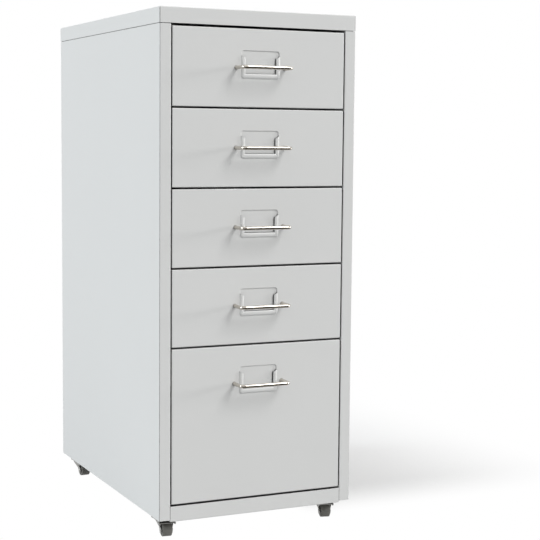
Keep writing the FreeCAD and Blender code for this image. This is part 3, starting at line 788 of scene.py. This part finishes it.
@dataclass
class Screws:
    """Cross-head screws, scattered by a tree on the places where the CAD screws sit."""

    pan: ScrewSize = ScrewSize(7.4 * MM, 2.2 * MM, 3.9 * MM, 7.0 * MM)
    low: ScrewSize = ScrewSize(7.4 * MM, 1.6 * MM, 3.9 * MM, 3.6 * MM)
    small: ScrewSize = ScrewSize(5.6 * MM, 1.8 * MM, 2.9 * MM, 7.8 * MM)
    round_steps: int = 24
    recess_width_share: float = 0.16
    recess_length_share: float = 0.62
    recess_depth_share: float = 0.6
    crown_shares: tuple[Pair, ...] = (
        (0.0, -1.0), (0.45, -0.97), (0.75, -0.84), (0.93, -0.58), (1.0, -0.28), (0.97, -0.04), (0.93, 0.0))
    point_width_share: float = 0.7
    point_length_share: float = 1 / 3
    place_digits: int = 6
    seed: int = 7

    def pattern(self, name: str, size: ScrewSize) -> bpy.types.Object:
        """Make one screw on the Z axis, its head's bearing face at zero and its shank pointing up.

        Args:
            name: The pattern's name.
            size: Its sizes.

        Returns:
            An object that is removed once the screws are scattered.
        """
        head, shank = size.head / 2, size.shank / 2
        profile = [(head * across, size.head_height * up) for across, up in self.crown_shares]
        profile += [(shank, 0.0), (shank, size.length - shank * self.point_length_share),
                    (shank * self.point_width_share, size.length), (0.0, size.length)]
        screw = new_piece(name, lathe(name, profile, self.round_steps))
        width, length = size.head * self.recess_width_share / 2, size.head * self.recess_length_share / 2
        depth = size.head_height * self.recess_depth_share
        cutters = []
        for across, along in ((width, length), (length, width)):
            shape = bmesh.new()
            bmesh.ops.create_cube(shape, size=2.0)
            bmesh.ops.scale(shape, vec=(across, along, depth), verts=shape.verts)
            bmesh.ops.translate(shape, vec=(0, 0, -size.head_height), verts=shape.verts)
            cutters.append(new_piece("recess", drawn_mesh("recess", shape)))
            cut = screw.modifiers.new("recess", "BOOLEAN")
            cut.object = cutters[-1]
            cut.solver = "EXACT"
        plain_mesh(screw)
        for cutter in cutters:
            bpy.data.objects.remove(cutter)
        return screw

    def tree(self) -> Tree:
        """Build the tree that sets a screw on each point, each turned its own way.

        Returns:
            The tree, with inputs Screw, Turn and Material.
        """
        tree, entry, leave = geometry_tree("set_screws", {
            "Screw": "NodeSocketObject", "Turn": "NodeSocketRotation", "Material": "NodeSocketMaterial"})
        source = tree.add("GeometryNodeObjectInfo")
        spin = tree.add("FunctionNodeRandomValue", data_type="FLOAT")
        most, turned = spin.inputs[3], spin.outputs[1]  # Max and Value of its float sockets
        most.default_value = math.tau
        spin.inputs["Seed"].default_value = self.seed
        own = tree.add("FunctionNodeAxisAngleToRotation")
        turn = tree.add("FunctionNodeRotateRotation", rotation_space="LOCAL")
        scatter = tree.add("GeometryNodeInstanceOnPoints")
        whole = tree.add("GeometryNodeRealizeInstances")
        finish = tree.add("GeometryNodeSetMaterial")
        tree.join(entry.outputs["Screw"], source.inputs["Object"])
        tree.join(turned, own.inputs["Angle"])
        tree.join(entry.outputs["Turn"], turn.inputs["Rotation"])
        tree.join(own.outputs["Rotation"], turn.inputs["Rotate By"])
        tree.join(entry.outputs["Geometry"], scatter.inputs["Points"])
        tree.join(source.outputs["Geometry"], scatter.inputs["Instance"])
        tree.join(turn.outputs["Rotation"], scatter.inputs["Rotation"])
        tree.join(scatter.outputs["Instances"], whole.inputs["Geometry"])
        tree.join(whole.outputs["Geometry"], finish.inputs["Geometry"])
        tree.join(entry.outputs["Material"], finish.inputs["Material"])
        tree.join(finish.outputs["Geometry"], leave.inputs["Geometry"])
        return tree

    def seats(self, node: str, size: ScrewSize, direction: Vector) -> list[Triple]:
        """Find where each solid of a CAD screw group has its head's bearing face.

        Args:
            node: The CAD node.
            size: The screws' sizes.
            direction: The way that the shanks point.

        Returns:
            One place for each screw, in an order that doesn't change from run to run.
        """
        shape = bmesh.new()
        shape.from_mesh(frame["nodes"][node].data)
        bmesh.ops.remove_doubles(shape, verts=shape.verts, dist=CAD_WELD)
        left = set(shape.verts)
        places = []
        while left:
            group, edge = set(), [left.pop()]
            while edge:
                vertex = edge.pop()
                group.add(vertex)
                near = {link.other_vert(vertex) for link in vertex.link_edges} & left
                left -= near
                edge.extend(near)
            end = max(vertex.co.dot(direction) for vertex in group)
            middle = Vector([(min(side) + max(side)) / 2 for side in zip(*(vertex.co for vertex in group))])
            middle += direction * (end - size.length - middle.dot(direction))
            places.append(tuple(round(value, self.place_digits) for value in middle))
        shape.free()
        return sorted(places)

    def build(self, finishes: Finishes) -> None:
        """Set every group of screws.

        Args:
            finishes: The materials.
        """
        tree = self.tree()
        forward, upward = Vector((0, -1, 0)), Vector((0, 0, 1))
        groups = [("carcass_screws", "carcass", self.pan, forward, Slot.ZINC),
                  ("castor_screws", "carcass", self.low, upward, Slot.ZINC)]
        groups += [(f"{drawer}_handle_screws", drawer, self.small, forward, Slot.NICKEL)
                   for drawer in DRAWERS]
        for node, body, size, direction, slot in groups:
            pattern = self.pattern(f"{node}_pattern", size)
            piece = new_piece(f"{node}_set", points_mesh(node, self.seats(node, size, direction)))
            turn = upward.rotation_difference(direction).to_euler()
            run_tree(piece, tree, {"Screw": pattern, "Turn": turn, "Material": finishes.materials[slot]})
            plain_mesh(piece)
            bpy.data.objects.remove(pattern)
            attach(piece, body)
            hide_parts(node)
            LOG.info("set %s", node)


@dataclass
class CastorWheels:
    """Moulded wheels with a rounded tread, a dished web and a hub, and the axle bolts with domed heads."""

    radius: float = 9.0 * MM
    half_width: float = 6.5 * MM
    shoulder: float = 1.0 * MM
    shoulder_share: float = 0.3
    edge_break: float = 0.2 * MM
    web_draft: float = 0.1 * MM
    web_radius: float = 7.2 * MM
    web_depth: float = 0.9 * MM
    hub_radius: float = 2.9 * MM
    bore_radius: float = 1.58 * MM
    head_radius: float = 2.4 * MM
    head_height: float = 0.8 * MM
    pin_radius: float = 1.5 * MM
    fork_beyond_wheel: float = 1.7 * MM
    dome_shares: tuple[Pair, ...] = ((0.0, 1.0), (0.55, 0.86), (0.88, 0.5), (1.0, 0.0))
    round_steps: int = 64

    def wheel_profile(self) -> list[Pair]:
        """Draw the wheel's closed section, one side mirrored from the other.

        Returns:
            Radius and height of each point.
        """
        half, edge = self.half_width, self.edge_break
        web, eased = half - self.web_depth, self.shoulder * self.shoulder_share
        outside = [(self.radius, half - self.shoulder), (self.radius - eased, half - eased),
                   (self.radius - self.shoulder, half), (self.web_radius + edge, half),
                   (self.web_radius, half - edge), (self.web_radius - self.web_draft, web),
                   (self.hub_radius + self.web_draft, web), (self.hub_radius, half - edge),
                   (self.hub_radius - edge, half), (self.bore_radius, half)]
        inside = [(radius, -height) for radius, height in reversed(outside)]
        return outside + inside + outside[:1]

    def axle_profile(self) -> list[Pair]:
        """Draw the axle bolt from one domed head to the other.

        Returns:
            Radius and height of each point.
        """
        cheek = self.half_width + self.fork_beyond_wheel
        dome = [(self.head_radius * across, cheek + self.head_height * up)
                for across, up in self.dome_shares]
        dome.append((self.pin_radius, cheek))
        return dome + [(radius, -height) for radius, height in reversed(dome)]

    def build(self, finishes: Finishes) -> None:
        """Make each wheel and axle on its own joint.

        Args:
            finishes: The materials.
        """
        spins = {joint["name"]: joint for joint in frame["record"]["behaviour"]["joints"]}
        for corner in CORNERS:
            joint = spins[f"{corner}_wheel_spin"]
            place, axis = Vector(joint["pos_m"]), Vector(joint["axis"])
            turn = Vector((0, 0, 1)).rotation_difference(axis).to_matrix().to_4x4()
            makings = [("wheel", self.wheel_profile(), f"{corner}_wheel", Slot.PLASTIC),
                       ("axle", self.axle_profile(), f"{corner}_castor", Slot.ZINC)]
            for kind, profile, body, slot in makings:
                node = f"{corner}_castor_{kind}"
                mesh = lathe(node, profile, self.round_steps)
                mesh.transform(Matrix.Translation(place) @ turn)
                piece = new_piece(f"{node}_turned", mesh)
                finishes.dress(piece, slot)
                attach(piece, body)
                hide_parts(node)
            LOG.info("turned the %s wheel and axle", corner)


@dataclass(frozen=True)
class Card:
    """A dark card of the studio that only reflections show: its centre, its size and the way it faces."""

    name: str
    centre: Triple
    width: float
    height: float
    facing: Triple


@dataclass(frozen=True)
class Lamp:
    """A soft sun: its strength, how wide it looks in degrees, its colour and the way its light travels."""

    name: str
    strength: float
    width: float
    colour: Triple
    towards: Triple


@dataclass
class Studio:
    """A white floor with a pale shadow, daylight from the left and two lamps at the right."""

    floor_half: float = 40.0
    floor_colour: float = 0.52
    floor_seen: float = 0.66
    shadow_left: Pair = (0.09, 0.15)
    shadow_right: Pair = (0.64, 0.16)
    shadow_front: Pair = (-0.17, -0.02)
    shadow_rear: Pair = (0.8, 0.2)
    shadow_share: float = 0.97
    overhead: float = 0.62
    horizon: float = 0.5
    lamps: tuple[Lamp, ...] = (
        Lamp("window_light", 1.55, 20.0, (0.89, 0.96, 1.0), (0.86, -0.1, -0.38)),
        Lamp("upper_right_light", 1.47, 26.0, (1.0, 0.998, 0.99), (-0.42, 0.6, -0.66)),
        Lamp("right_strip_light", 1.1, 12.0, (1.0, 0.995, 0.985), (-0.96, 0.22, -0.14)))
    card_colour: Triple = (0.05, 0.042, 0.035)
    card_roughness: float = 0.9
    cards: tuple[Card, ...] = (
        Card("card_on_the_floor", (0.6, -1.65, 0.005), 3.4, 2.8, (0.0, 0.0, 1.0)),
        Card("card_behind_the_camera", (0.6, -3.05, 0.75), 4.4, 1.5, (0.0, 1.0, 0.0)),
        Card("card_at_the_left", (-1.7, -1.5, 0.45), 1.8, 1.0, (1.0, 0.5, 0.0)))

    def floor(self) -> None:
        """Make the floor, white to camera and reflections, with the shadow kept beside the cabinet."""
        shape = bmesh.new()
        bmesh.ops.create_grid(shape, x_segments=1, y_segments=1, size=self.floor_half)
        mesh = drawn_mesh("floor", shape)
        floor = new_piece("floor", mesh)
        material = bpy.data.materials.new("white_floor")
        material.use_nodes = True
        tree = Tree(material.node_tree)
        tree.tree.nodes.clear()
        seen = self.seen(tree)
        colour = tree.add("ShaderNodeMix", data_type="RGBA")
        colour.inputs["A"].default_value = (*[self.floor_colour] * 3, 1.0)
        colour.inputs["B"].default_value = (*[self.floor_seen] * 3, 1.0)
        place = tree.add("ShaderNodeTexCoord")
        split = tree.add("ShaderNodeSeparateXYZ")
        shadow = 1.0
        for along, (none, full) in (("X", self.shadow_left), ("X", self.shadow_right),
                                    ("Y", self.shadow_front), ("Y", self.shadow_rear)):
            fade = tree.add("ShaderNodeMapRange", interpolation_type="SMOOTHSTEP")
            fade.inputs["From Min"].default_value = none
            fade.inputs["From Max"].default_value = full
            tree.join(split.outputs[along], fade.inputs["Value"])
            shadow = tree.math("MULTIPLY", fade.outputs["Result"], shadow)
        paint = tree.add("ShaderNodeBsdfDiffuse")
        glow = tree.add("ShaderNodeEmission")
        both = tree.add("ShaderNodeMixShader")
        surface = tree.add("ShaderNodeOutputMaterial")
        tree.join(place.outputs["Object"], split.inputs["Vector"])
        white = tree.math("SUBTRACT", 1.0, tree.math("MULTIPLY", shadow, self.shadow_share))
        tree.join(seen, colour.inputs["Factor"])
        tree.join(colour.outputs["Result"], paint.inputs["Color"])
        tree.join(tree.math("MULTIPLY", seen, white), both.inputs["Fac"])
        tree.join(paint.outputs["BSDF"], both.inputs[1])
        tree.join(glow.outputs["Emission"], both.inputs[2])
        tree.join(both.outputs["Shader"], surface.inputs["Surface"])
        mesh.materials.append(material)

    def seen(self, tree: Tree) -> bpy.types.NodeSocket:
        """Tell the rays that show the background from those that light the object.

        Args:
            tree: The tree that asks.

        Returns:
            A socket that is 1 for camera, mirror and glass rays.
        """
        path = tree.add("ShaderNodeLightPath")
        glass = tree.math("MAXIMUM", path.outputs["Is Glossy Ray"], path.outputs["Is Transmission Ray"])
        return tree.math("MAXIMUM", path.outputs["Is Camera Ray"], glass)

    def world(self) -> None:
        """Make a sky that is brightest overhead, and plain white to camera and reflections."""
        world = bpy.data.worlds.new("studio")
        bpy.context.scene.world = world
        world.use_nodes = True
        tree = Tree(world.node_tree)
        background = world.node_tree.nodes["Background"]
        background.inputs["Color"].default_value = (1.0, 1.0, 1.0, 1.0)
        way = tree.add("ShaderNodeTexCoord")
        split = tree.add("ShaderNodeSeparateXYZ")
        tree.join(way.outputs["Generated"], split.inputs["Vector"])
        height = tree.math("MAXIMUM", split.outputs["Z"], 0.0)
        light = tree.math("ADD", tree.math("MULTIPLY", height, self.overhead - self.horizon), self.horizon)
        strength = tree.add("ShaderNodeMix", data_type="FLOAT")
        strength.inputs["B"].default_value = 1.0
        tree.join(light, strength.inputs["A"])
        tree.join(self.seen(tree), strength.inputs["Factor"])
        tree.join(strength.outputs["Result"], background.inputs["Strength"])

    def lamp(self, lamp: Lamp) -> None:
        """Add a lamp.

        Args:
            lamp: The lamp.
        """
        light = bpy.data.lights.new(lamp.name, "SUN")
        light.energy = lamp.strength
        light.angle = math.radians(lamp.width)
        light.color = lamp.colour
        holder = bpy.data.objects.new(lamp.name, light)
        bpy.context.scene.collection.objects.link(holder)
        holder.rotation_mode = "QUATERNION"
        holder.rotation_quaternion = Vector(lamp.towards).to_track_quat("-Z", "Y")

    def card(self, card: Card, material: bpy.types.Material) -> None:
        """Stand a dark card outside the picture, to give bright metal its dark sides.

        Args:
            card: The card.
            material: Its surface.
        """
        shape = bmesh.new()
        bmesh.ops.create_grid(shape, x_segments=1, y_segments=1, size=0.5)
        bmesh.ops.scale(shape, vec=(card.width, card.height, 1.0), verts=shape.verts)
        turn = Vector(card.facing).to_track_quat("Z", "Y").to_matrix().to_4x4()
        bmesh.ops.transform(shape, matrix=Matrix.Translation(card.centre) @ turn, verts=shape.verts)
        mesh = drawn_mesh(card.name, shape)
        mesh.materials.append(material)
        piece = new_piece(card.name, mesh)
        piece.visible_camera = False
        piece.visible_diffuse = False
        piece.visible_shadow = False

    def build(self) -> None:
        """Make the whole studio."""
        self.floor()
        self.world()
        for lamp in self.lamps:
            self.lamp(lamp)
        material = bpy.data.materials.new("dark_card")
        material.use_nodes = True
        shader = material.node_tree.nodes["Principled BSDF"]
        shader.inputs["Base Color"].default_value = (*self.card_colour, 1.0)
        shader.inputs["Roughness"].default_value = self.card_roughness
        for card in self.cards:
            self.card(card, material)


@dataclass
class PhotoCamera:
    """The photograph's viewpoint: millimetres from the middle of the cabinet's plan, degrees and pixels."""

    place: Triple = (-763.6, -1866.1, 530.5)
    yaw: float = 25.28
    pitch: float = -5.57
    roll: float = 0.52
    focal_pixels: float = 1383.0
    frame_pixels: float = 540.0
    sensor: float = 36.0
    farthest: float = 100.0

    def build(self) -> None:
        """Make the camera and choose it for the scene."""
        data = bpy.data.cameras.new("photo_camera")
        data.sensor_width = self.sensor
        data.lens = self.focal_pixels / self.frame_pixels * self.sensor
        data.clip_end = self.farthest
        camera = bpy.data.objects.new("photo_camera", data)
        bpy.context.scene.collection.objects.link(camera)
        yaw, pitch, roll = (math.radians(value) for value in (self.yaw, self.pitch, self.roll))
        forward = Vector((math.sin(yaw) * math.cos(pitch), math.cos(yaw) * math.cos(pitch),
                          math.sin(pitch)))
        level_right = forward.cross(Vector((0, 0, 1))).normalized()
        level_up = level_right.cross(forward)
        right = math.cos(roll) * level_right + math.sin(roll) * level_up
        up = -math.sin(roll) * level_right + math.cos(roll) * level_up
        turn = Matrix((right, up, -forward)).transposed()
        front, rear = (corner[1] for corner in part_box("top_cover"))
        place = Vector(self.place) * MM + Vector((0, (front + rear) / 2, 0))
        camera.matrix_world = Matrix.Translation(place) @ turn.to_4x4()
        bpy.context.scene.camera = camera


def main() -> None:
    """Build the finishes, the pieces, the studio and the camera."""
    logging.basicConfig(level=logging.INFO, format="%(name)s: %(message)s")
    bpy.context.scene.view_settings.view_transform = "Standard"
    finishes = Finishes()
    sheet = FoldedSheet()
    slots = {row["node"]: Slot(row["material_slot"]) for row in frame["record"]["subparts"]}
    for name, piece in frame["nodes"].items():
        finishes.dress(piece, slots[name])
        sheet.smooth(name, piece)
        LOG.info("dressed %s", name)
    PressedFronts().build(finishes)
    WireHandles().build(finishes)
    Screws().build(finishes)
    CastorWheels().build(finishes)
    Studio().build()
    PhotoCamera().build()


if __name__ == "__main__":
    main()
